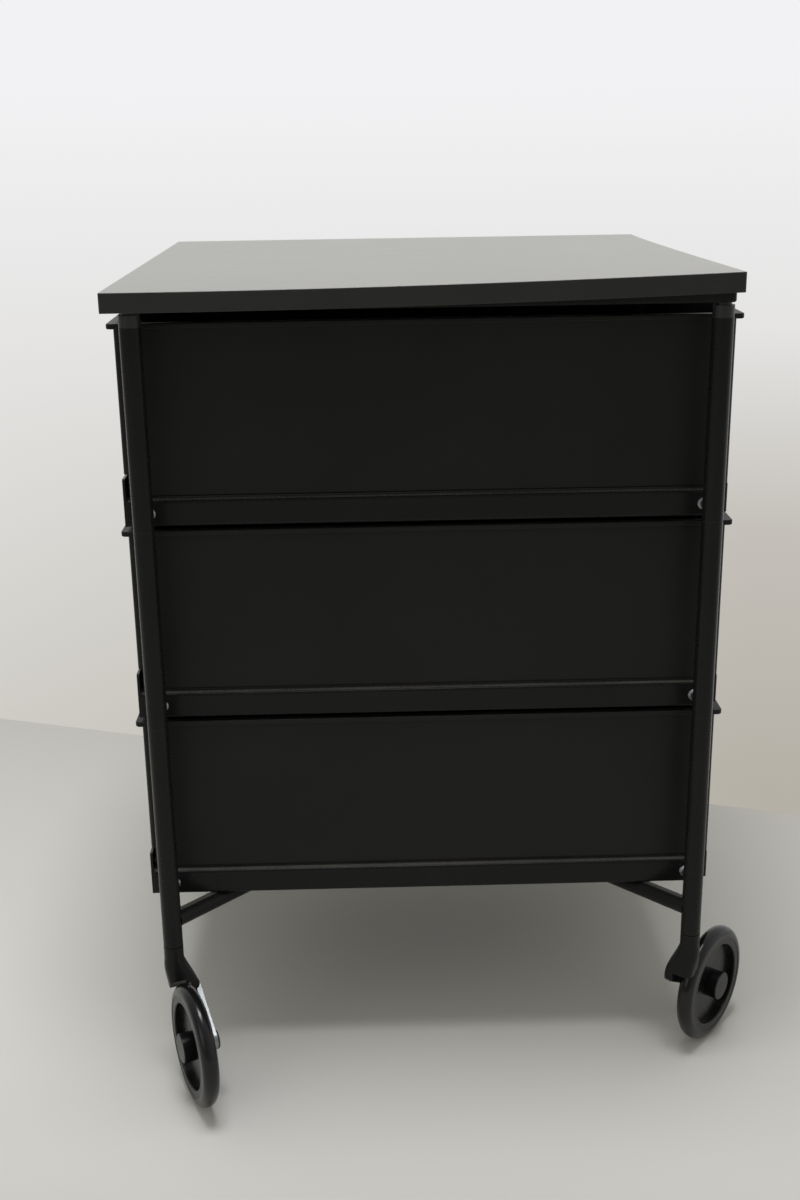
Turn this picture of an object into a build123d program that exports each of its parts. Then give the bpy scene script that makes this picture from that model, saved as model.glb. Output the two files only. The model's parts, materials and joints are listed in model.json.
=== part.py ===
from build123d import *
import os
from math import atan2, degrees, hypot

# Mobile drawer unit: three moulded drawers in a stacked tube frame on four swivel castors.
# Millimetres. +Z is up and the drawers pull out towards -Y.
# The origin lies on the floor, midway between the four columns.

# Columns: round tube, one length for each storey
column_spacing_x = 458.0
column_spacing_y = 443.4
tube_diameter = 16.6
tube_wall = 1.5
spigot_length = 44.0
screw_insert_length = 22.0

# Storeys, counted from the lowest rail upwards
storey_count = 3
storey_pitch = 164.8
leg_length = 30.2
joint_above_rail = 5.5
drawer_gap = 3.8
top_clearance = 13.0

# Column caps, each with a stud that locates the top frame
cap_height = 9.0
cap_neck_radius = 6.0
cap_neck_height = 2.2
cap_plug_length = 18.0
cap_stud_radius = 3.0
cap_stud_height = 4.0

# Top frame: mitred box-section bars
frame_height = 12.5
frame_wall = 1.5
frame_corner_radius = 4.0
frame_chamfer = 1.0

# Lid: a shallow moulded tray that drops over the top frame
lid_clearance = 5.2
lid_set_back = 3.5
lid_wall = 2.5
lid_plate = 3.0
lid_depth = 15.0
lid_corner_radius = 2.0
lid_edge_radius = 0.8
lid_rib_depth = 6.0
lid_rib_width = 2.0
lid_rib_count = 3

# Side rails: C-section sheet, held off the columns by flanged spacers
rail_inset = 32.0
rail_height = 21.4
rail_sheet = 1.5
rail_bend_radius = 2.4
rail_top_flange = 16.0
rail_bottom_flange = 10.0
rail_front_gap = 2.8
spacer_radius = 3.4
spacer_flange_radius = 5.0
spacer_flange_thickness = 0.8
spacer_dome_height = 1.8
screw_radius = 2.0
screw_head_radius = 4.0
screw_head_height = 2.0
screw_depth_in_insert = 5.0
screw_clearance = 0.1

# Rear bars: flat sheet across the back of each storey, welded to the rail ends
rear_reach = 19.8
rear_bar_height = 39.3
rear_bar_sheet = 2.0
rear_bar_flange = 12.0
rear_bar_corner_radius = 2.0
rear_flange_end_gap = 1.0

# Drawers: one moulding each
front_reach = 20.1
drawer_wall = 2.5
drawer_floor = 3.0
drawer_corner_radius = 4.0
drawer_bottom_radius = 2.0
rim_overhang = 4.7
rim_thickness = 4.2
rim_edge_radius = 0.9
rear_wall_inset = 0.5
rear_ledge_gap = 2.5
rear_running_gap = 2.3
skirt_lift = 2.0
skirt_rib_count = 5
skirt_rib_depth = 10.0
skirt_rib_width = 2.0
keel_thickness = 2.5
keel_gap = 1.0
foot_length = 40.0
foot_width = 9.0
foot_height = 4.0
foot_gap = 0.5
foot_from_rear = 5.0
bumper_radius = 4.0
bumper_spacing = 200.0
drawer_travel = 340.0

# Slides
glide_thickness = 1.7
glide_inset = 7.0
running_gap = 0.3
stop_length = 10.0
stop_width = 12.0

# Cross brace under the lowest storey
brace_gap = 0.3
brace_diameter = 15.0
brace_wall = 1.5
brace_set_back = 5.5

# Castors: a single wheel on a one-sided steel arm
wheel_diameter = 103.5
tyre_width = 14.34
tyre_crown = 7.17
tyre_depth = 8.75
rim_depth = 6.5
rim_side_inset = 0.27
rim_lip_radius = 1.2
web_thickness = 4.0
web_recess = 5.9
boss_radius = 12.3
boss_edge_radius = 0.8
boss_proud = 5.6
hub_back_radius = 10.0
hub_back_proud = 6.88
hub_bore_depth = 22.0
axle_radius = 4.0
axle_fit = 0.05
axle_head_radius = 8.25
axle_head_depth = 1.8
axle_head_edge = 1.2
trail = 44.6
wheel_offset = 1.25
arm_thickness = 4.0
arm_width = 16.6
arm_reach = 50.0
arm_rise_angle = 31.0
arm_cover = 0.8
arm_fit = 0.05
hood_crown = 20.5
hood_neck = 12.0
hood_waist = 25.0
hood_shoulder = 38.0
hood_drop = 49.0
hood_waist_rear = 8.5
hood_waist_nose = 8.8
hood_waist_open = 8.3
hood_waist_arm = 13.8
hood_waist_radius = 7.6
hood_rear = 8.6
hood_nose = 9.8
hood_open = 6.0
hood_hem_open = 5.2
hood_shoulder_arm = 19.0
hood_corner_radius = 5.6
hood_toe_level = 83.0
hood_round_margin = 0.083
hood_hem_radius = 1.2
hood_clearance = 2.5
hood_side_clearance = 2.18
stem_radius = 5.0
stem_tip_gap = 2.8
stem_seat_depth = 22.0
stem_fit = 0.05
bush_top_gap = 1.9
bush_flange_radius = 7.4
bush_flange_thickness = 0.5
castor_angle_rear_left = 203.1
castor_angle_front_left = -39.8
half_turn = 180.0

# Values worked out from the driving dimensions
column_x = column_spacing_x / 2
column_y = column_spacing_y / 2
tube_radius = tube_diameter / 2
tube_bore = tube_radius - tube_wall
wheel_radius = wheel_diameter / 2
castor_top = wheel_diameter + hood_crown
tube_foot = castor_top + running_gap + bush_flange_thickness
rail_bases = [tube_foot + leg_length + storey * storey_pitch for storey in range(storey_count)]
screw_rise = rail_height / 2
bush_top = rail_bases[0] + screw_rise - screw_insert_length / 2 - bush_top_gap
stem_top = bush_top - stem_tip_gap
rim_rise = storey_pitch - drawer_gap
frame_base = rail_bases[-1] + rim_rise + top_clearance
cap_top = frame_base - cap_neck_height
cap_base = cap_top - cap_height
frame_top = frame_base + frame_height
lid_top = frame_top + lid_plate
frame_half_x = column_x + tube_radius
frame_half_y = column_y + tube_radius
rail_face = column_x - rail_inset
rail_rear = column_y + rear_reach - rear_bar_sheet
drawer_front = -(column_y + front_reach)
drawer_rear = column_y + rear_reach - rear_wall_inset
rail_front = drawer_front + drawer_wall + rail_front_gap
rim_half_x = rail_face
wall_half_x = rim_half_x - rim_overhang
lower_rear = rail_rear - rear_running_gap
floor_rise = rail_height + glide_thickness + running_gap
keel_face = rail_face - rail_top_flange - keel_gap
foot_top_rise = rail_height - rail_sheet - foot_gap
foot_front = lower_rear - foot_from_rear - foot_length
stop_rear = foot_front - drawer_travel - running_gap
brace_radius = brace_diameter / 2
brace_bore = brace_radius - brace_wall
brace_level = rail_bases[0] - brace_gap - brace_radius
brace_angle = degrees(atan2(column_x, column_y))
brace_length = 2 * (hypot(column_x, column_y) - brace_set_back)
hub_back = tyre_width / 2 + hub_back_proud
arm_inner = wheel_offset + hub_back + running_gap
arm_outer = arm_inner + arm_thickness
storey_names = ["lower", "middle", "upper"]


def box_between(low, high):
    """Box with the two given corners."""
    size = [b - a for a, b in zip(low, high)]
    centre = [(a + b) / 2 for a, b in zip(low, high)]
    return Pos(*centre) * Box(*size)


def rod_x(x_from, x_to, y, z, radius):
    """Round rod along X."""
    return Pos((x_from + x_to) / 2, y, z) * Rot(0, 90, 0) * Cylinder(radius, abs(x_to - x_from))


def rod_y(x, y_from, y_to, z, radius):
    """Round rod along Y."""
    return Pos(x, (y_from + y_to) / 2, z) * Rot(90, 0, 0) * Cylinder(radius, abs(y_to - y_from))


def rod_z(x, y, z_from, z_to, radius):
    """Round rod along Z."""
    return Pos(x, y, (z_from + z_to) / 2) * Cylinder(radius, z_to - z_from)


def corners():
    """Name and plan position of each column."""
    return [
        ("front_left", -column_x, -column_y),
        ("front_right", column_x, -column_y),
        ("rear_left", -column_x, column_y),
        ("rear_right", column_x, column_y),
    ]


def inward(x):
    """Direction along X from a column towards the middle of the unit."""
    return -1 if x > 0 else 1


def screw_bore(x, y, base):
    """Hole for a rail screw, from the middle of the column out to the rail."""
    reach = x + inward(x) * (rail_inset + rail_sheet)
    start = x + inward(x) * (tube_bore - screw_depth_in_insert)
    return rod_x(start, reach, y, base + screw_rise, screw_radius + screw_clearance)


def column_tube(x, y, storey):
    """One storey's length of column tube, drilled for its rail screw."""
    bottom = tube_foot if storey == 0 else rail_bases[storey] + joint_above_rail
    top = cap_base if storey == storey_count - 1 else rail_bases[storey + 1] + joint_above_rail
    wall = rod_z(x, y, bottom, top, tube_radius) - rod_z(x, y, bottom, top, tube_bore)
    return wall - screw_bore(x, y, rail_bases[storey])


def tube_inserts():
    """Spigots that join the tube lengths, and the plugs behind the lowest screws."""
    pieces = []
    for name, x, y in corners():
        middle = rail_bases[0] + screw_rise
        half = screw_insert_length / 2
        plug = rod_z(x, y, middle - half, middle + half, tube_bore)
        pieces.append(plug - screw_bore(x, y, rail_bases[0]))
        for base in rail_bases[1:]:
            joint = base + joint_above_rail
            spigot = rod_z(x, y, joint - spigot_length / 2, joint + spigot_length / 2, tube_bore)
            pieces.append(spigot - screw_bore(x, y, base))
    return pieces


def column_caps():
    """Cap on each column: plug, collar, narrower neck and locating stud."""
    caps = []
    for name, x, y in corners():
        cap = rod_z(x, y, cap_base - cap_plug_length, cap_base, tube_bore)
        cap += rod_z(x, y, cap_base, cap_top, tube_radius)
        cap += rod_z(x, y, cap_top, frame_base, cap_neck_radius)
        cap += rod_z(x, y, frame_base, frame_base + cap_stud_height, cap_stud_radius)
        caps.append(cap)
    return caps


def top_frame_bars():
    """The four mitred bars: side bars along Y, then end bars along X."""
    outline = RectangleRounded(2 * frame_half_x, 2 * frame_half_y, frame_corner_radius)
    window = Rectangle(2 * (frame_half_x - tube_diameter), 2 * (frame_half_y - tube_diameter))
    ring = Pos(0, 0, frame_base) * extrude(outline - window, frame_height)
    under = ring.faces().sort_by(Axis.Z)[0]
    ring = chamfer(under.outer_wire().edges(), frame_chamfer)
    low = frame_base + frame_wall
    high = frame_top - frame_wall
    for side in (-1, 1):
        inner_x = side * (frame_half_x - tube_diameter + frame_wall)
        outer_x = side * (frame_half_x - frame_wall)
        inner_y = side * (frame_half_y - tube_diameter + frame_wall)
        outer_y = side * (frame_half_y - frame_wall)
        reach_x = frame_half_x - frame_wall
        reach_y = frame_half_y - frame_wall
        x_low, x_high = sorted((inner_x, outer_x))
        y_low, y_high = sorted((inner_y, outer_y))
        ring -= box_between((x_low, -reach_y, low), (x_high, reach_y, high))
        ring -= box_between((-reach_x, y_low, low), (reach_x, y_high, high))
    for name, x, y in corners():
        ring -= rod_z(x, y, frame_base, low, cap_stud_radius + screw_clearance)
    in_x = frame_half_x - tube_diameter
    in_y = frame_half_y - tube_diameter
    side_bars = []
    end_bars = []
    for side in (-1, 1):
        side_plan = Polygon(
            (side * in_x, -in_y),
            (side * frame_half_x, -frame_half_y),
            (side * frame_half_x, frame_half_y),
            (side * in_x, in_y),
            align=None,
        )
        end_plan = Polygon(
            (-in_x, side * in_y),
            (-frame_half_x, side * frame_half_y),
            (frame_half_x, side * frame_half_y),
            (in_x, side * in_y),
            align=None,
        )
        side_bars.append(ring & (Pos(0, 0, frame_base) * extrude(side_plan, frame_height, dir=(0, 0, 1))))
        end_bars.append(ring & (Pos(0, 0, frame_base) * extrude(end_plan, frame_height, dir=(0, 0, 1))))
    return side_bars, end_bars


def lid():
    """Shallow tray with a flat top, a skirt and stiffening ribs underneath."""
    width = 2 * (frame_half_x + lid_clearance + lid_wall)
    depth = 2 * (frame_half_y + lid_clearance + lid_wall)
    outside = extrude(RectangleRounded(width, depth, lid_corner_radius), lid_depth)
    outside = fillet(outside.faces().sort_by(Axis.Z)[-1].edges(), lid_edge_radius)
    hollow = Rectangle(width - 2 * lid_wall, depth - 2 * lid_wall)
    tray = outside - extrude(hollow, lid_depth - lid_plate)
    rib_x = 2 * (frame_half_x - tube_diameter - lid_clearance)
    rib_y = 2 * (frame_half_y - tube_diameter - lid_clearance)
    under = lid_depth - lid_plate
    for number in range(lid_rib_count):
        share = (number + 1) / (lid_rib_count + 1) - 0.5
        across = (share * rib_x, 0, under - lid_rib_depth / 2)
        along = (0, share * rib_y, under - lid_rib_depth / 2)
        tray += Pos(*across) * Box(lid_rib_width, rib_y, lid_rib_depth)
        tray += Pos(*along) * Box(rib_x, lid_rib_width, lid_rib_depth)
    return Pos(0, lid_set_back, lid_top - lid_depth) * tray


def side_rail(side, base):
    """C-section rail, open towards the drawer, with a rounded bend top and bottom."""
    low_x, high_x = sorted((side * rail_face, side * (rail_face - rail_top_flange)))
    rail = box_between((low_x, rail_front, base), (high_x, rail_rear, base + rail_height))
    bends = rail.edges().filter_by(Axis.Y).sort_by(Axis.X)
    bends = bends[-2:] if side > 0 else bends[:2]
    rail = fillet(bends, rail_bend_radius)
    inner = rail_face - rail_sheet
    low_x, high_x = sorted((side * inner, side * (rail_face - rail_top_flange)))
    channel = box_between(
        (low_x, rail_front, base + rail_sheet),
        (high_x, rail_rear, base + rail_height - rail_sheet),
    )
    bends = channel.edges().filter_by(Axis.Y).sort_by(Axis.X)
    bends = bends[-2:] if side > 0 else bends[:2]
    rail -= fillet(bends, rail_bend_radius - rail_sheet)
    low_x, high_x = sorted((side * (rail_face - rail_bottom_flange), side * (rail_face - rail_top_flange)))
    rail -= box_between((low_x, rail_front, base), (high_x, rail_rear, base + rail_sheet))
    for y in (-column_y, column_y):
        rail -= screw_bore(side * column_x, y, base)
    return rail


def rear_bar(base):
    """Flat bar across the back, with a stiffening flange along its lower edge."""
    top = base + rear_bar_height
    bar = box_between((-rail_face, rail_rear, base), (rail_face, rail_rear + rear_bar_sheet, top))
    bar = fillet(bar.edges().filter_by(Axis.Y), rear_bar_corner_radius)
    half = rail_face - rail_bottom_flange - rear_flange_end_gap
    bar += box_between((-half, rail_rear - rear_bar_flange, base), (half, rail_rear, base + rail_sheet))
    return bar


def rail_spacers():
    """Flanged sleeve between each column and its rail."""
    sleeves = []
    for name, x, y in corners():
        turn = inward(x)
        face = x + turn * rail_inset
        for base in rail_bases:
            z = base + screw_rise
            sleeve = rod_x(x, face, y, z, spacer_radius)
            sleeve += rod_x(face - turn * spacer_flange_thickness, face, y, z, spacer_flange_radius)
            dome = Cone(spacer_flange_radius, spacer_radius, spacer_dome_height)
            middle = face - turn * (spacer_flange_thickness + spacer_dome_height / 2)
            sleeve += Pos(middle, y, z) * Rot(0, -turn * 90, 0) * dome
            sleeve -= rod_z(x, y, z - tube_diameter, z + tube_diameter, tube_radius)
            sleeve -= rod_x(x, face, y, z, screw_radius + screw_clearance)
            sleeves.append(sleeve)
    return sleeves


def rail_screws():
    """Pan-head screw from inside each rail, through its spacer into the column."""
    screws = []
    for name, x, y in corners():
        turn = inward(x)
        seat = x + turn * (rail_inset + rail_sheet)
        tip = x + turn * (tube_bore - screw_depth_in_insert)
        for base in rail_bases:
            z = base + screw_rise
            screw = rod_x(tip, seat, y, z, screw_radius)
            screw += rod_x(seat, seat + turn * screw_head_height, y, z, screw_head_radius)
            screws.append(screw)
    return screws


def glide_strips():
    """Low-friction strip on the top flange of each rail."""
    strips = []
    for base in rail_bases:
        for side in (-1, 1):
            edges = (side * (rail_face - rail_top_flange), side * (rail_face - glide_inset))
            low_x, high_x = sorted(edges)
            low_z = base + rail_height
            high_z = low_z + glide_thickness
            strips.append(box_between((low_x, rail_front, low_z), (high_x, rail_rear, high_z)))
    return strips


def rail_stops():
    """Block inside each rail that the drawer's foot meets when it is pulled out."""
    stops = []
    for base in rail_bases:
        for side in (-1, 1):
            inner = rail_face - rail_sheet
            low_x, high_x = sorted((side * inner, side * (inner - stop_width)))
            low_z = base + rail_sheet
            high_z = base + rail_height - rail_sheet
            stop = box_between((low_x, stop_rear - stop_length, low_z), (high_x, stop_rear, high_z))
            bends = stop.edges().filter_by(Axis.Y).sort_by(Axis.X)
            bends = bends[-2:] if side > 0 else bends[:2]
            stops.append(chamfer(bends, rail_bend_radius - rail_sheet))
    return stops


def rounded_block(half_x, y_low, y_high, z_low, z_high, radius):
    """Upright block with rounded vertical edges, centred across X."""
    plan = RectangleRounded(2 * half_x, y_high - y_low, radius)
    return Pos(0, (y_low + y_high) / 2, z_low) * extrude(plan, z_high - z_low)


def drawer(base):
    """One-piece moulded drawer with rim, rear ledge, front skirt and runner keels."""
    floor_under = base + floor_rise
    floor_top = floor_under + drawer_floor
    rim_top = base + rim_rise
    ledge = base + rear_bar_height + rear_ledge_gap
    body = rounded_block(wall_half_x, drawer_front, drawer_rear, floor_under, rim_top, drawer_corner_radius)
    notch = box_between((-rim_half_x, lower_rear, floor_under), (rim_half_x, drawer_rear, ledge))
    body -= notch
    side_hems = body.faces().sort_by(Axis.Z)[0].edges().filter_by(Axis.Y)
    body = fillet(side_hems, drawer_bottom_radius)
    front_hem = box_between(
        (-wall_half_x, drawer_front, base + skirt_lift),
        (wall_half_x, drawer_front + drawer_wall, floor_under + drawer_bottom_radius),
    )
    front_hem = fillet(front_hem.edges().filter_by(Axis.Z).sort_by(Axis.Y)[:2], drawer_wall * 0.8)
    body += front_hem
    rim = rounded_block(
        rim_half_x,
        drawer_front - rim_overhang,
        drawer_rear + rim_overhang,
        rim_top - rim_thickness,
        rim_top,
        drawer_corner_radius,
    )
    rim_edges = rim.faces().sort_by(Axis.Z)[-1].edges() + rim.faces().sort_by(Axis.Z)[0].edges()
    body += fillet(rim_edges, rim_edge_radius)
    inner_x = wall_half_x - drawer_wall
    inner_radius = drawer_corner_radius - drawer_wall / 2
    front_inside = drawer_front + drawer_wall
    for rear, level in ((drawer_rear, ledge + drawer_wall), (lower_rear, floor_top)):
        body -= rounded_block(inner_x, front_inside, rear - drawer_wall, level, rim_top, inner_radius)
    foot_low = base + foot_top_rise - foot_height
    foot_rear = foot_front + foot_length
    for side in (-1, 1):
        low_x, high_x = sorted((side * keel_face, side * (keel_face - keel_thickness)))
        body += box_between((low_x, front_inside, foot_low), (high_x, foot_rear, floor_under))
        low_x, high_x = sorted((side * keel_face, side * (keel_face + foot_width)))
        body += box_between((low_x, foot_front, foot_low), (high_x, foot_rear, foot_low + foot_height))
        bumper_tip = rail_rear - running_gap
        bumper_level = floor_under + bumper_radius + drawer_floor
        body += rod_y(side * bumper_spacing / 2, lower_rear, bumper_tip, bumper_level, bumper_radius)
    rib_span = 2 * (keel_face - keel_thickness)
    for number in range(skirt_rib_count):
        x = ((number + 1) / (skirt_rib_count + 1) - 0.5) * rib_span
        rib = box_between(
            (x - skirt_rib_width / 2, front_inside, base + skirt_lift),
            (x + skirt_rib_width / 2, front_inside + skirt_rib_depth, floor_under),
        )
        slanted = rib.edges().filter_by(Axis.X).sort_by(Axis.Z)[:2].sort_by(Axis.Y)[-1]
        body += chamfer(slanted, skirt_rib_depth * 0.8)
    return body


def brace_rod(side, radius):
    """Rod along one diagonal of the base, between its two columns."""
    rod = Rot(0, 0, side * brace_angle) * Rot(90, 0, 0) * Cylinder(radius, brace_length)
    return Pos(0, 0, brace_level) * rod


def brace_tube(side):
    """Diagonal tube whose ends are shaped to sit against the columns."""
    tube = brace_rod(side, brace_radius) - brace_rod(side, brace_bore)
    for name, x, y in corners():
        tube -= rod_z(x, y, brace_level - brace_diameter, brace_level + brace_diameter, tube_radius)
    return tube


def base_cross():
    """Full diagonal tube, and the two half tubes that meet it in the middle."""
    halves = brace_tube(-1) - brace_rod(1, brace_radius)
    return brace_tube(1), halves


def castor_bushes():
    """Flanged bush in the foot of each column, which the castor stem turns in."""
    bushes = []
    for name, x, y in corners():
        bottom = tube_foot - bush_flange_thickness
        bush = rod_z(x, y, bottom, tube_foot, bush_flange_radius)
        bush += rod_z(x, y, tube_foot, bush_top, tube_bore)
        bush -= rod_z(x, y, bottom, bush_top, stem_radius + stem_fit)
        bushes.append(bush)
    return bushes


def on_axle(shape):
    """Lays a shape made about +Z onto the axle, its +Z towards the wheel's open face."""
    return Pos(trail, wheel_offset, wheel_radius) * Rot(90, 0, 0) * shape


def castor_tyre():
    """Rounded tread ring."""
    seat = wheel_radius - tyre_depth
    half = tyre_width / 2
    shoulder = wheel_radius - tyre_crown
    side = Polyline((shoulder, half), (seat, half), (seat, -half), (shoulder, -half))
    crown = ThreePointArc((shoulder, -half), (wheel_radius, 0), (shoulder, half))
    profile = Plane.XZ * make_face(side + crown)
    return on_axle(revolve(profile, Axis.Z))


def castor_wheel():
    """Wheel centre: rim, recessed web and a hub boss that stands out of the open face."""
    rim_outer = wheel_radius - tyre_depth
    rim_inner = rim_outer - rim_depth
    half = tyre_width / 2 - rim_side_inset
    rim = Cylinder(rim_outer, 2 * half) - Cylinder(rim_inner, 2 * half)
    lips = rim.edges().filter_by(GeomType.CIRCLE).sort_by(SortBy.RADIUS)[:2]
    rim = fillet(lips, rim_lip_radius)
    web_face = half - web_recess
    web = Pos(0, 0, web_face - web_thickness / 2) * Cylinder(rim_inner + rim_depth / 2, web_thickness)
    boss_end = half + boss_proud
    boss = Pos(0, 0, (boss_end + web_face) / 2) * Cylinder(boss_radius, boss_end - web_face)
    boss = fillet(boss.faces().sort_by(Axis.Z)[-1].edges(), boss_edge_radius)
    boss += Pos(0, 0, (web_face - hub_back) / 2) * Cylinder(hub_back_radius, web_face + hub_back)
    bore = Pos(0, 0, hub_bore_depth / 2 - hub_back) * Cylinder(axle_radius + axle_fit, hub_bore_depth)
    return on_axle(rim + web + boss - bore)


def arm_blank(grow):
    """Slot-shaped plate of the arm, larger all round by the given amount."""
    plan = SlotCenterToCenter(arm_reach, arm_width + 2 * grow)
    plan = Rot(0, 0, half_turn - arm_rise_angle) * (Pos(arm_reach / 2, 0) * plan)
    plate = extrude(plan, arm_thickness + 2 * grow)
    return Pos(trail, arm_outer + grow, wheel_radius) * Rot(90, 0, 0) * plate


def castor_arm():
    """Flat steel arm from the hood down to the axle."""
    return arm_blank(0) - rod_y(trail, arm_inner, arm_outer, wheel_radius, axle_radius + arm_fit)


def castor_axle():
    """Stub axle with a round cap on the outside of the arm."""
    tip = wheel_offset + hub_back - hub_bore_depth + running_gap
    cap = rod_y(trail, arm_outer, arm_outer + axle_head_depth, wheel_radius, axle_head_radius)
    cap = fillet(cap.faces().sort_by(Axis.Y)[-1].edges(), axle_head_edge)
    return cap + rod_y(trail, tip, arm_outer, wheel_radius, axle_radius)


def hood_section(drop, rear, nose, open_side, arm_side, radius):
    """Rounded plan of the hood at one distance below its top."""
    plan = RectangleRounded(nose + rear, open_side + arm_side, radius)
    return Pos((nose - rear) / 2, (arm_side - open_side) / 2, castor_top - drop) * plan


def castor_hood():
    """Swivel housing that flares from a round neck over the wheel, with a lobe round the arm."""
    throat = tube_radius - hood_round_margin
    neck = hood_section(hood_neck, tube_radius, tube_radius, tube_radius, tube_radius, throat)
    waist = hood_section(
        hood_waist, hood_waist_rear, hood_waist_nose, hood_waist_open, hood_waist_arm, hood_waist_radius
    )
    shoulder = hood_section(
        hood_shoulder, hood_rear, hood_nose, hood_open, hood_shoulder_arm, hood_corner_radius
    )
    hem = hood_section(
        hood_drop, hood_rear, hood_nose, hood_hem_open, arm_outer + arm_cover, hood_corner_radius
    )
    hood = loft([neck, waist, shoulder, hem])
    hood = fillet(hood.faces().sort_by(Axis.Z)[0].edges(), hood_hem_radius)
    hood += rod_z(0, 0, castor_top - hood_neck, castor_top, tube_radius)
    room_edge = wheel_offset + tyre_width / 2 + hood_side_clearance
    reach = tube_diameter * 2
    hood -= rod_y(trail, -reach, room_edge, wheel_radius, wheel_radius + hood_clearance)
    hood -= box_between((-reach, -reach, wheel_radius), (reach, room_edge, hood_toe_level))
    hood -= arm_blank(arm_fit)
    hood -= rod_z(0, 0, castor_top - stem_seat_depth, castor_top, stem_radius)
    return hood


def castor_stem():
    """Swivel pin, fixed in the hood and turning in the column's bush."""
    return rod_z(0, 0, castor_top - stem_seat_depth, stem_top, stem_radius)


def castor_places():
    """Name, plan position and trail direction of each castor as it stands."""
    return [
        ("front_left", -column_x, -column_y, castor_angle_front_left),
        ("front_right", column_x, -column_y, castor_angle_rear_left + half_turn),
        ("rear_left", -column_x, column_y, castor_angle_rear_left),
        ("rear_right", column_x, column_y, castor_angle_front_left + half_turn),
    ]


def write(name, pieces):
    """Writes one sub-part's solids to its own STEP file."""
    solids = []
    for piece in pieces:
        solids.extend(piece.solids())
    shape = solids[0] if len(solids) == 1 else Compound(children=solids)
    export_step(shape, os.path.join("parts", name + ".step"))


def write_all():
    """Builds and writes every sub-part."""
    os.makedirs("parts", exist_ok=True)
    write("lid", [lid()])
    side_bars, end_bars = top_frame_bars()
    write("top_frame_side_bars", side_bars)
    write("top_frame_end_bars", end_bars)
    write("column_caps", column_caps())
    write("tube_inserts", tube_inserts())
    for storey in range(storey_count):
        base = rail_bases[storey]
        level = storey_names[storey]
        for name, x, y in corners():
            write("column_" + name + "_" + level, [column_tube(x, y, storey)])
        write("rail_left_" + level, [side_rail(-1, base)])
        write("rail_right_" + level, [side_rail(1, base)])
        write("rear_bar_" + level, [rear_bar(base)])
        write("drawer_" + level, [drawer(base)])
    write("rail_spacers", rail_spacers())
    write("rail_screws", rail_screws())
    write("glide_strips", glide_strips())
    write("rail_stops", rail_stops())
    full, halves = base_cross()
    write("base_cross_tube", [full])
    write("base_half_tubes", [halves])
    write("castor_bushes", castor_bushes())
    pieces = {
        "hood": castor_hood(),
        "stem": castor_stem(),
        "arm": castor_arm(),
        "axle": castor_axle(),
        "wheel": castor_wheel(),
        "tyre": castor_tyre(),
    }
    for name, x, y, angle in castor_places():
        for piece, shape in pieces.items():
            write("castor_" + name + "_" + piece, [Pos(x, y, 0) * Rot(0, 0, angle) * shape])


write_all()
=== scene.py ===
import bmesh
import bpy
import json
from math import cos, pi, radians, sin
from mathutils import Matrix, Vector


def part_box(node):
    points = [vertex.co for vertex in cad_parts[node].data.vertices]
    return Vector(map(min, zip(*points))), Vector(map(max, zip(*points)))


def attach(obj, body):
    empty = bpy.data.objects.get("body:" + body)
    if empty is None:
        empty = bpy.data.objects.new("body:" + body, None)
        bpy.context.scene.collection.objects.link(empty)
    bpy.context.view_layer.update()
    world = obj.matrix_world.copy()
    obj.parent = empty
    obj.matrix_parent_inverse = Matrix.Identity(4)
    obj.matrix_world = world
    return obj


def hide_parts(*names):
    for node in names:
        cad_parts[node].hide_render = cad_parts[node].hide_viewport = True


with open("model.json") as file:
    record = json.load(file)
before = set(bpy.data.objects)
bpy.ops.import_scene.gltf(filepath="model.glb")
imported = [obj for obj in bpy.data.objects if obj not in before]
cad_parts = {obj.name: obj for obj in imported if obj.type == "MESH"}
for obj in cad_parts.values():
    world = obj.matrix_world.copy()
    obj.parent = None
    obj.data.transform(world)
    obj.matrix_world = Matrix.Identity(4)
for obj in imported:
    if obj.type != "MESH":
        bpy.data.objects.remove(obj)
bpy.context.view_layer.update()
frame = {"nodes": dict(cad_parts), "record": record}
nodes = frame["nodes"]

# Lengths are in metres and angles in degrees where no comment says otherwise.
# Up is +Z, the unit's front is -Y, and the photo looks along +X at its left side.

# Warped lid: its near front corner stands up, and the warp dies out at a share of the width and the depth.
# A face counts as the lid's top where its normal's upward part is over top_face_slope.
lid_low, lid_high = (Vector(corner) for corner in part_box("lid"))
lid_wall = 0.0025
lid_plate = 0.003
lid_corner_radius = 0.002
least_corner_radius = 0.0006
lid_edge_radius = 0.0008
lid_warp = 0.0076
warp_width = 0.92
warp_depth = 0.95
warp_curve_across = 1.25
warp_curve_along = 1.9
top_face_slope = 0.6
crease_angle = 40

# Ribs under the lid's plate, rooted in it
rib_count = 3
rib_inset = 0.027
rib_depth = 0.006
rib_width = 0.002
rib_root = lid_plate / 4

# Divisions of the lid's mesh
side_steps = 22
corner_steps = 5
edge_steps = 4
plate_steps = 40
rib_steps = 24

# Floor: it ends on the line where the photo's wall stands. Its colour carries painted shade: along
# wall_heading it gets darker from near to far, and along X a little darker again at its front. A slight
# mottle lies over it.
floor_reach = 9.0
wall_start = 0.39
wall_slant = 0.3455
wall_heading = (1.0, -0.5, 0.0)
shade_near_to_far = (-0.35, 0.55)
mottle_scale = 1.2
mottle_amount = 0.04
floor_near = (0.610, 0.606, 0.595)
floor_far_shade = (0.425, 0.417, 0.395)
front_shade_reach = (-0.22, -0.42)
front_shade_gain = 0.86
floor_rough = 0.6
floor_specular = 0.2

# Camera, solved from the photo: angles in radians, focal length in pixels of the photo's height
camera_place = (-1.3316, 0.0437, 0.7886)
pitch, yaw, roll = 0.3149, 0.0182, -0.015
focal_pixels = 1463.944
photo_height = 1200.0
sensor_size = 36.0
nearest_seen = 0.01

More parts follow.
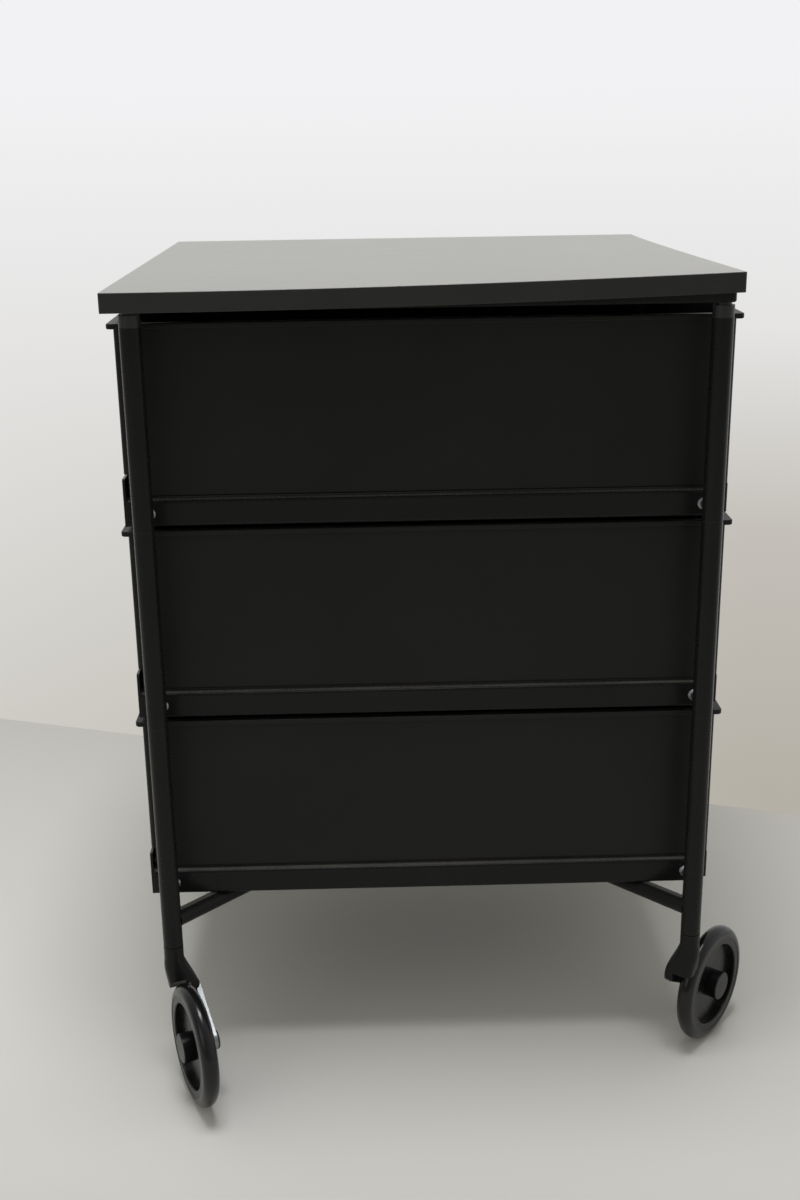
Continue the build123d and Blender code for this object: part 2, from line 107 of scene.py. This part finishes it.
# Values that several materials share. Most of a noise texture lies within noise_range.
noise_range = (0.3, 0.7)
# Tone of the dust specks on plastic, and of the painted highlight on the powder coat's flat tops
dust_and_highlight_tone = (0.30, 0.29, 0.27)
coat_rough = 0.32
sheen_rough = 0.35
facing_up = (0.2, 0.95)
flat_top = (0.92, 0.99)
edge_samples = 6
edge_turn = (0.98, 0.75)

# Moulded plastic: rubbed patches along its edges, specks of dust and uneven roughness
plastic_edge = 0.0012
rubbed_patches = (0.35, 0.7)
rubbed_amount = (0.15, 0.8)
speck_range = (0.55, 0.8)
smoother, duller = 0.05, 0.06

# Powder coat: rubbed edges, a painted highlight in a dust tone on flat tops, and pinholes
coat_edge = 0.0009
coat_rubbed = (0.2, 0.9)
# Share of the painted highlight on flat tops, in a dust tone
coat_top_highlight = (0.22, 0.36)
pinhole_size = (0.0, 0.12)

# Plated steel: brighter and duller patches
metal_smoother, metal_duller = 0.08, 0.10

# Room: soft light, reflections that are brighter on the wall's side, and the wall itself for the camera
light_tone = (1.0, 0.985, 0.90)
light_strength = 0.53
reflected_tone = 0.8
bright_heading = (1.0, -0.6, 0.0)
dim_to_bright = (-1.1, 0.6)
reflected_strength = (0.22, 0.92)

# Photo's wall for the camera: one gradient from its foot to its top, shaded low on the right
wall_foot = (0.585, 0.565, 0.515)
wall_top = (0.885, 0.885, 0.90)
foot_to_top = (-0.42, 0.02)
corner_shade = (0.79, 0.77, 0.74)
shade_height = (-0.13, -0.26)
left_to_right = (0.25, -0.25)


# Node helpers

def grey(value):
    """Neutral tone."""
    return (value, value, value)


def scaled_tone(tone, gain, lift):
    """Tone scaled by a gain and lifted: a rubbed edge's paler tone, or the floor's painted front shade."""
    return tuple(channel * gain + lift for channel in tone)


class Tree:
    """A material's or world's node tree, with short calls for the nodes that this scene uses."""

    def __init__(self, owner, output, coordinates):
        owner.use_nodes = True
        self.tree = owner.node_tree
        self.tree.nodes.clear()
        self.output = self.node(output)
        self.place = self.node("ShaderNodeTexCoord").outputs[coordinates]

    def feed(self, socket, value):
        """Links a socket to another node's, or sets it to a plain value; a tone gets its alpha."""
        if isinstance(value, bpy.types.NodeSocket):
            self.tree.links.new(value, socket)
        elif socket.type == "RGBA":
            socket.default_value = (*value, 1.0)
        else:
            socket.default_value = value

    def node(self, kind, **inputs):
        """New node with some of its inputs fed; a socket's name is written with underscores."""
        node = self.tree.nodes.new(kind)
        for name, value in inputs.items():
            self.feed(node.inputs[name.replace("_", " ")], value)
        return node

    def math(self, operation, a, b):
        node = self.node("ShaderNodeMath")
        node.operation = operation
        for socket, value in zip(node.inputs, (a, b)):
            self.feed(socket, value)
        return node.outputs["Value"]

    def dot(self, a, b):
        """Dot product of two vectors."""
        node = self.node("ShaderNodeVectorMath")
        node.operation = "DOT_PRODUCT"
        for socket, value in zip(node.inputs, (a, b)):
            self.feed(socket, value)
        return node.outputs["Value"]

    def axis(self, vector, name):
        """One coordinate of a vector."""
        return self.node("ShaderNodeSeparateXYZ", Vector=vector).outputs[name]

    def remap(self, value, source, target=(0.0, 1.0)):
        """Value carried from one range to another, held at its ends."""
        node = self.node(
            "ShaderNodeMapRange", Value=value,
            From_Min=source[0], From_Max=source[1], To_Min=target[0], To_Max=target[1],
        )
        return node.outputs["Result"]

    def spread(self, texture, target=(0.0, 1.0)):
        """A noise texture's main range, spread over another."""
        return self.remap(texture, noise_range, target)

    def blend(self, amount, a, b, kind="MIX"):
        """Tone that goes from a to b with the amount, or from a to their product."""
        node = self.tree.nodes.new("ShaderNodeMix")
        node.data_type = "RGBA"
        node.blend_type = kind
        self.feed(node.inputs["Factor"], amount)
        first, second = (socket for socket in node.inputs if socket.type == "RGBA")
        self.feed(first, a)
        self.feed(second, b)
        return next(socket for socket in node.outputs if socket.type == "RGBA")

    def noise(self, scale, detail, rough, stretch=(1.0, 1.0, 1.0)):
        mapping = self.node("ShaderNodeMapping", Vector=self.place, Scale=stretch)
        node = self.node(
            "ShaderNodeTexNoise", Vector=mapping.outputs["Vector"],
            Scale=scale, Detail=detail, Roughness=rough,
        )
        return node.outputs["Fac"]

    def average(self, a, b, share):
        """Sum of two values, with a share of the first and the rest of the second."""
        return self.math("ADD", self.math("MULTIPLY", a, share), self.math("MULTIPLY", b, 1 - share))

    def shade(self, amount, a, b):
        """Shader that goes from a to b with the amount."""
        node = self.node("ShaderNodeMixShader", Fac=amount)
        first, second = (socket for socket in node.inputs if socket.type == "SHADER")
        self.feed(first, a)
        self.feed(second, b)
        return node.outputs["Shader"]


class Surface(Tree):
    """A material with one Principled shader."""

    def __init__(self, name):
        self.material = bpy.data.materials.new(name)
        super().__init__(self.material, "ShaderNodeOutputMaterial", "Object")
        self.shader = self.node("ShaderNodeBsdfPrincipled")
        self.feed(self.output.inputs["Surface"], self.shader.outputs["BSDF"])

    def upward(self, slopes=facing_up):
        """1 where the surface faces up, 0 where it faces sideways or down."""
        normal = self.node("ShaderNodeNewGeometry").outputs["Normal"]
        return self.remap(self.axis(normal, "Z"), slopes)

    def edges(self, radius):
        """1 along sharp edges, where a rounded normal departs from the real one."""
        bevel = self.node("ShaderNodeBevel", Radius=radius)
        bevel.samples = edge_samples
        normal = self.node("ShaderNodeNewGeometry").outputs["Normal"]
        return self.remap(self.dot(bevel.outputs["Normal"], normal), edge_turn)

    def bump(self, height, strength, distance, **normal):
        """Normal with a bump, on top of another where one is given."""
        node = self.node("ShaderNodeBump", Strength=strength, Distance=distance, Height=height, **normal)
        return node.outputs["Normal"]

    def finish(self, **inputs):
        """Feeds the shader and gives the material."""
        for name, value in inputs.items():
            self.feed(self.shader.inputs[name.replace("_", " ")], value)
        return self.material


# Materials. Noise scales are in cells per metre, and bump distances and edge radii in metres.

def moulded_plastic(name, dark, light, rough, specular, grain, coat=0.0, haze=0.0, dust=0.0):
    """Moulded plastic: fine eroded grain, faint flow marks, paler worn edges and dust on top."""
    b = Surface(name)
    cloud = b.noise(scale=9.0, detail=4.0, rough=0.6)
    flow = b.noise(scale=55.0, detail=3.0, rough=0.6, stretch=(1.0, 0.25, 1.0))
    fine = b.noise(scale=grain, detail=2.0, rough=0.7)
    worn = b.math("MULTIPLY", b.edges(plastic_edge), b.remap(flow, rubbed_patches, rubbed_amount))
    tone = b.blend(b.spread(cloud), dark, light)
    tone = b.blend(worn, tone, scaled_tone(light, gain=2.2, lift=0.012))
    if dust:
        specks = b.noise(scale=420.0, detail=2.0, rough=0.5)
        dust_and_highlight = b.math("MULTIPLY", b.upward(), b.remap(specks, speck_range, (0.0, dust)))
        tone = b.blend(dust_and_highlight, tone, dust_and_highlight_tone)
    grained = b.bump(fine, strength=0.22, distance=0.00012)
    return b.finish(
        Base_Color=tone,
        Roughness=b.spread(b.average(flow, cloud, share=0.5), (rough - smoother, rough + duller)),
        Normal=b.bump(flow, strength=0.05, distance=0.0004, Normal=grained),
        Specular_IOR_Level=specular,
        Coat_Weight=coat,
        Coat_Roughness=coat_rough,
        Sheen_Weight=haze,
        Sheen_Roughness=sheen_rough,
    )


def powder_coat(name, dark, light, rough, specular):
    """Powder coat: orange peel, a few pinholes, brighter rubbed edges, and a painted highlight in a dust
    tone on flat tops.
    """
    b = Surface(name)
    cloud = b.noise(scale=14.0, detail=3.0, rough=0.5)
    peel = b.noise(scale=520.0, detail=2.0, rough=0.5)
    grain = b.noise(scale=2300.0, detail=1.0, rough=0.5)
    pits = b.node("ShaderNodeTexVoronoi", Vector=b.place, Scale=900.0).outputs["Distance"]
    worn = b.math("MULTIPLY", b.edges(coat_edge), b.spread(cloud, coat_rubbed))
    # Painted highlight: flat tops are lightened towards a dust tone, standing in for the shine along the
    # rails' top edges
    dust_and_highlight = b.math("MULTIPLY", b.upward(flat_top), b.spread(cloud, coat_top_highlight))
    tone = b.blend(b.spread(cloud), dark, light)
    tone = b.blend(worn, tone, scaled_tone(light, gain=2.5, lift=0.015))
    grained = b.bump(grain, strength=0.04, distance=0.00003)
    pitted = b.bump(b.remap(pits, pinhole_size), strength=0.03, distance=0.00003, Normal=grained)
    return b.finish(
        Base_Color=b.blend(dust_and_highlight, tone, dust_and_highlight_tone),
        Roughness=b.spread(peel, (rough - smoother, rough + duller)),
        Normal=b.bump(peel, strength=0.05, distance=0.00008, Normal=pitted),
        Specular_IOR_Level=specular,
    )


def bright_metal(name, dark, light, rough, drawn_scale, stretch):
    """Zinc-plated steel: drawn grain, cloudy plating and duller patches."""
    b = Surface(name)
    cloud = b.noise(scale=60.0, detail=4.0, rough=0.6)
    drawn = b.noise(scale=drawn_scale, detail=3.0, rough=0.7, stretch=stretch)
    return b.finish(
        Base_Color=b.blend(b.spread(cloud), dark, light),
        Roughness=b.spread(
            b.average(drawn, cloud, share=0.6), (rough - metal_smoother, rough + metal_duller),
        ),
        Normal=b.bump(drawn, strength=0.12, distance=0.00008),
        Metallic=1.0,
    )


# By material slot; lid_top is the hazed upper face of the lid
materials = {
    "lid_plastic": moulded_plastic(
        "lid_satin_black", dark=grey(0.012), light=(0.016, 0.0165, 0.016),
        rough=0.40, specular=0.34, grain=1500.0, coat=0.135, dust=0.05,
    ),
    "lid_top": moulded_plastic(
        "lid_top_hazed", dark=grey(0.012), light=(0.016, 0.0165, 0.016),
        rough=0.40, specular=0.34, grain=1500.0, coat=0.9, haze=0.88, dust=0.05,
    ),
    "drawer_plastic": moulded_plastic(
        "drawer_matt_black", dark=(0.0090, 0.0090, 0.0084), light=(0.0112, 0.0112, 0.0104),
        rough=0.37, specular=0.17, grain=1800.0, dust=0.04,
    ),
    "powder_coat": powder_coat(
        "frame_powder_coat", dark=(0.0080, 0.0081, 0.0082), light=(0.0098, 0.0099, 0.0100),
        rough=0.25, specular=0.14,
    ),
    "cap_plastic": moulded_plastic(
        "cap_black", dark=grey(0.010), light=grey(0.013), rough=0.38, specular=0.45, grain=1600.0,
    ),
    "insert_plastic": moulded_plastic(
        "insert_black", dark=grey(0.012), light=grey(0.016), rough=0.5, specular=0.4, grain=1600.0,
    ),
    "zinc": bright_metal(
        "zinc_fixings", dark=(0.33, 0.34, 0.35), light=(0.46, 0.47, 0.48),
        rough=0.40, drawn_scale=700.0, stretch=(1.0, 1.0, 1.0),
    ),
    "glide_plastic": moulded_plastic(
        "glide_black", dark=grey(0.014), light=grey(0.018), rough=0.32, specular=0.5, grain=900.0,
    ),
    "stop_rubber": moulded_plastic(
        "stop_rubber_black", dark=grey(0.008), light=grey(0.011), rough=0.7, specular=0.3, grain=700.0,
    ),
    "hood_plastic": moulded_plastic(
        "hood_black", dark=(0.0075, 0.0075, 0.0078), light=(0.0090, 0.0090, 0.0093),
        rough=0.34, specular=0.15, grain=1500.0,
    ),
    "bright_steel": bright_metal(
        "bright_plated_steel", dark=(0.215, 0.228, 0.232), light=(0.275, 0.290, 0.295),
        rough=0.30, drawn_scale=500.0, stretch=(0.25, 1.0, 1.0),
    ),
    "axle_black": moulded_plastic(
        "axle_cap_black", dark=grey(0.009), light=grey(0.012), rough=0.36, specular=0.5, grain=1300.0,
    ),
    "wheel_plastic": moulded_plastic(
        "wheel_centre_grey", dark=(0.0045, 0.0045, 0.0047), light=(0.0062, 0.0062, 0.0064),
        rough=0.27, specular=0.24, grain=1200.0,
    ),
    "wheel_tread": moulded_plastic(
        "tread_dark_grey", dark=(0.0050, 0.0050, 0.0052), light=(0.0070, 0.0070, 0.0072),
        rough=0.20, specular=0.34, grain=1000.0,
    ),
}


def assign_materials():
    """Gives every CAD node the material of its slot."""
    slots = {entry["node"]: entry["material_slot"] for entry in frame["record"]["subparts"]}
    for name, obj in nodes.items():
        material = materials[slots[name]]
        if not obj.material_slots:
            obj.data.materials.append(material)
        for holder in obj.material_slots:
            holder.material = material


assign_materials()


# Warped lid, with the CAD lid's own outline

def lid_lift(x, y):
    """How far the lid stands up at a point of its plan."""
    across = (x - lid_low.x) / (lid_high.x - lid_low.x)
    along = (y - lid_low.y) / (lid_high.y - lid_low.y)
    near = max(0.0, 1.0 - across / warp_width)
    front = max(0.0, 1.0 - along / warp_depth)
    return lid_warp * near ** warp_curve_across * front ** warp_curve_along


def ring_points(inset, height):
    """The lid's rounded plan, inset by an amount, at one height: each side, then the corner at its end."""
    low_x, low_y = lid_low.x + inset, lid_low.y + inset
    high_x, high_y = lid_high.x - inset, lid_high.y - inset
    r = max(lid_corner_radius - inset, least_corner_radius)
    turns = [
        (high_x - r, low_y + r, -90, (low_x + r, low_y), (high_x - r, low_y)),
        (high_x - r, high_y - r, 0, (high_x, low_y + r), (high_x, high_y - r)),
        (low_x + r, high_y - r, 90, (high_x - r, high_y), (low_x + r, high_y)),
        (low_x + r, low_y + r, 180, (low_x, high_y - r), (low_x, low_y + r)),
    ]
    points = []
    for corner_x, corner_y, first_angle, side_from, side_to in turns:
        for step in range(side_steps):
            share = step / side_steps
            x = side_from[0] + (side_to[0] - side_from[0]) * share
            y = side_from[1] + (side_to[1] - side_from[1]) * share
            points.append((x, y, height))
        for step in range(corner_steps):
            angle = radians(first_angle + 90 * step / corner_steps)
            points.append((corner_x + r * cos(angle), corner_y + r * sin(angle), height))
    return points


def join_rings(mesh, outer, inner):
    """Band of faces between two closed rings."""
    for number in range(len(outer)):
        after = (number + 1) % len(outer)
        mesh.faces.new((outer[number], outer[after], inner[after], inner[number]))


def fill_plate(mesh, ring, height):
    """Fills a ring with a plate that follows the warp: smaller and smaller rings down to its centre."""
    centre_x = (lid_low.x + lid_high.x) / 2
    centre_y = (lid_low.y + lid_high.y) / 2
    plan = [(vertex.co.x, vertex.co.y) for vertex in ring]
    outer = ring
    for step in range(1, plate_steps):
        share = 1 - step / plate_steps
        inner = []
        for plan_x, plan_y in plan:
            x = centre_x + (plan_x - centre_x) * share
            y = centre_y + (plan_y - centre_y) * share
            inner.append(mesh.verts.new((x, y, height + lid_lift(x, y))))
        join_rings(mesh, outer, inner)
        outer = inner
    middle = mesh.verts.new((centre_x, centre_y, height + lid_lift(centre_x, centre_y)))
    for number in range(len(outer)):
        mesh.faces.new((outer[number], outer[(number + 1) % len(outer)], middle))


def add_rib(mesh, start, end):
    """Stiffening rib under the plate: a closed strip that follows the warp."""
    ahead = (end - start).normalized()
    offset = Vector((-ahead.y, ahead.x, 0)) * rib_width / 2
    under = lid_high.z - lid_plate
    rings = []
    for step in range(rib_steps + 1):
        middle = start.lerp(end, step / rib_steps)
        low = Vector((0, 0, under - rib_depth + lid_lift(middle.x, middle.y)))
        high = low + Vector((0, 0, rib_depth + rib_root))
        shifts = (low - offset, low + offset, high + offset, high - offset)
        rings.append([mesh.verts.new(middle + shift) for shift in shifts])
    for ring, following in zip(rings, rings[1:]):
        join_rings(mesh, ring, following)
    mesh.faces.new(rings[0])
    mesh.faces.new(reversed(rings[-1]))


def build_lid():
    """Tray with a rolled top edge, a skirt, an inner face, a warped plate and ribs under it."""
    mesh = bmesh.new()
    top, bottom = lid_high.z, lid_low.z
    outlines = [
        ring_points(lid_wall, top - lid_plate),
        ring_points(lid_wall, bottom),
        ring_points(0.0, bottom),
        ring_points(0.0, top - lid_edge_radius),
    ]
    for step in range(1, edge_steps + 1):
        angle = pi / 2 * step / edge_steps
        inset = lid_edge_radius * (1 - cos(angle))
        outlines.append(ring_points(inset, top - lid_edge_radius * (1 - sin(angle))))
    rings = [[mesh.verts.new((x, y, z + lid_lift(x, y))) for x, y, z in points] for points in outlines]
    for ring, following in zip(rings, rings[1:]):
        join_rings(mesh, ring, following)
    fill_plate(mesh, rings[-1], top)
    fill_plate(mesh, rings[0], top - lid_plate)
    margin = Vector((lid_wall + rib_inset, lid_wall + rib_inset, 0))
    low, high = lid_low + margin, lid_high - margin
    for number in range(rib_count):
        share = (number + 1) / (rib_count + 1)
        x = low.x + (high.x - low.x) * share
        y = low.y + (high.y - low.y) * share
        add_rib(mesh, Vector((x, low.y, 0)), Vector((x, high.y, 0)))
        add_rib(mesh, Vector((low.x, y, 0)), Vector((high.x, y, 0)))
    bmesh.ops.recalc_face_normals(mesh, faces=mesh.faces)
    data = bpy.data.meshes.new("lid_warped")
    mesh.to_mesh(data)
    mesh.free()
    data.materials.append(materials["lid_plastic"])
    data.materials.append(materials["lid_top"])
    for polygon in data.polygons:
        polygon.use_smooth = True
        polygon.material_index = int(polygon.normal.z > top_face_slope)
    data.set_sharp_from_angle(angle=radians(crease_angle))
    obj = bpy.data.objects.new("lid_warped", data)
    obj.modifiers.new("flat_faces", "WEIGHTED_NORMAL").keep_sharp = True
    bpy.context.scene.collection.objects.link(obj)
    return obj


lid = build_lid()
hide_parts("lid")
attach(lid, "frame")


# Floor, camera, lamps and room

def pale_floor(name):
    """Plain pale floor with painted shade: darker towards the wall and a little at the front, with a slight
    mottle.
    """
    b = Surface(name)
    # Painted shade: the floor's colour darkens from near to far towards the wall
    shade_towards_wall = b.remap(b.dot(b.place, wall_heading), shade_near_to_far)
    patches = b.noise(scale=mottle_scale, detail=3.0, rough=0.5)
    mottle = b.remap(patches, (0.0, 1.0), (-mottle_amount, mottle_amount))
    tone = b.blend(b.math("ADD", shade_towards_wall, mottle), floor_near, floor_far_shade)
    # Painted shade: a little darker again at the floor's front
    front_shade = b.remap(b.axis(b.place, "X"), front_shade_reach)
    return b.finish(
        Base_Color=b.blend(front_shade, tone, scaled_tone(floor_near, gain=front_shade_gain, lift=0.0)),
        Roughness=floor_rough,
        Specular_IOR_Level=floor_specular,
    )


def lay_floor():
    """Flat floor that ends on the wall's line, so that the unit can be seen from behind too."""
    corners = [
        (-floor_reach, -floor_reach, 0),
        (wall_start - wall_slant * floor_reach, -floor_reach, 0),
        (wall_start + wall_slant * floor_reach, floor_reach, 0),
        (-floor_reach, floor_reach, 0),
    ]
    data = bpy.data.meshes.new("floor")
    data.from_pydata(corners, [], [(0, 1, 2, 3)])
    data.materials.append(pale_floor("floor_pale"))
    obj = bpy.data.objects.new("floor", data)
    bpy.context.scene.collection.objects.link(obj)


def place_camera():
    """Camera at the photo's place, with the photo's field of view."""
    data = bpy.data.cameras.new("camera")
    data.sensor_width = sensor_size
    data.lens = sensor_size * focal_pixels / photo_height
    data.clip_start = nearest_seen
    forward = Vector((cos(yaw) * cos(pitch), -sin(yaw) * cos(pitch), -sin(pitch)))
    level = forward.cross(Vector((0, 0, 1))).normalized()
    above = level.cross(forward)
    side = cos(roll) * level + sin(roll) * above
    upright = -sin(roll) * level + cos(roll) * above
    turn = Matrix((side, upright, -forward)).transposed()
    camera = bpy.data.objects.new("camera", data)
    bpy.context.scene.collection.objects.link(camera)
    camera.matrix_world = Matrix.Translation(camera_place) @ turn.to_4x4()
    bpy.context.scene.camera = camera


def lamp(name, place, aim, size, watts, tone):
    """Square area lamp that points at a place."""
    data = bpy.data.lights.new(name, "AREA")
    data.shape = "SQUARE"
    data.size = size
    data.energy = watts
    data.color = tone
    obj = bpy.data.objects.new(name, data)
    bpy.context.scene.collection.objects.link(obj)
    obj.location = place
    obj.rotation_euler = (Vector(aim) - Vector(place)).to_track_quat("-Z", "Y").to_euler()


def fill_room():
    """World: soft light, a room that is dimmer on the camera's side to reflect, and the wall to look at."""
    world = bpy.data.worlds.new("room")
    bpy.context.scene.world = world
    b = Tree(world, "ShaderNodeOutputWorld", "Generated")
    brightness = b.remap(b.dot(b.place, bright_heading), dim_to_bright, reflected_strength)
    reflected = b.node("ShaderNodeBackground", Color=grey(reflected_tone), Strength=brightness)
    light = b.node("ShaderNodeBackground", Color=light_tone, Strength=light_strength)
    height = b.axis(b.place, "Z")
    wall = b.blend(b.remap(height, foot_to_top), wall_foot, wall_top)
    rightward = b.remap(b.axis(b.place, "Y"), left_to_right)
    corner = b.math("MULTIPLY", rightward, b.remap(height, shade_height))
    seen = b.node("ShaderNodeBackground", Color=b.blend(corner, wall, corner_shade, kind="MULTIPLY"))
    rays = b.node("ShaderNodeLightPath").outputs
    indirect = b.shade(rays["Is Glossy Ray"], light.outputs["Background"], reflected.outputs["Background"])
    direct = b.math("MAXIMUM", rays["Is Camera Ray"], rays["Is Transmission Ray"])
    b.feed(b.output.inputs["Surface"], b.shade(direct, indirect, seen.outputs["Background"]))


lay_floor()
place_camera()
lamp("key", place=(-0.3, 0.08, 3.2), aim=(0, 0, 0.2), size=1.1, watts=67.0, tone=grey(1.0))
lamp("fill", place=(-2.6, 2.2, 1.7), aim=(0, 0, 0.35), size=2.0, watts=10.0, tone=(0.96, 0.98, 1.0))
fill_room()
bpy.context.scene.view_settings.view_transform = "Standard"
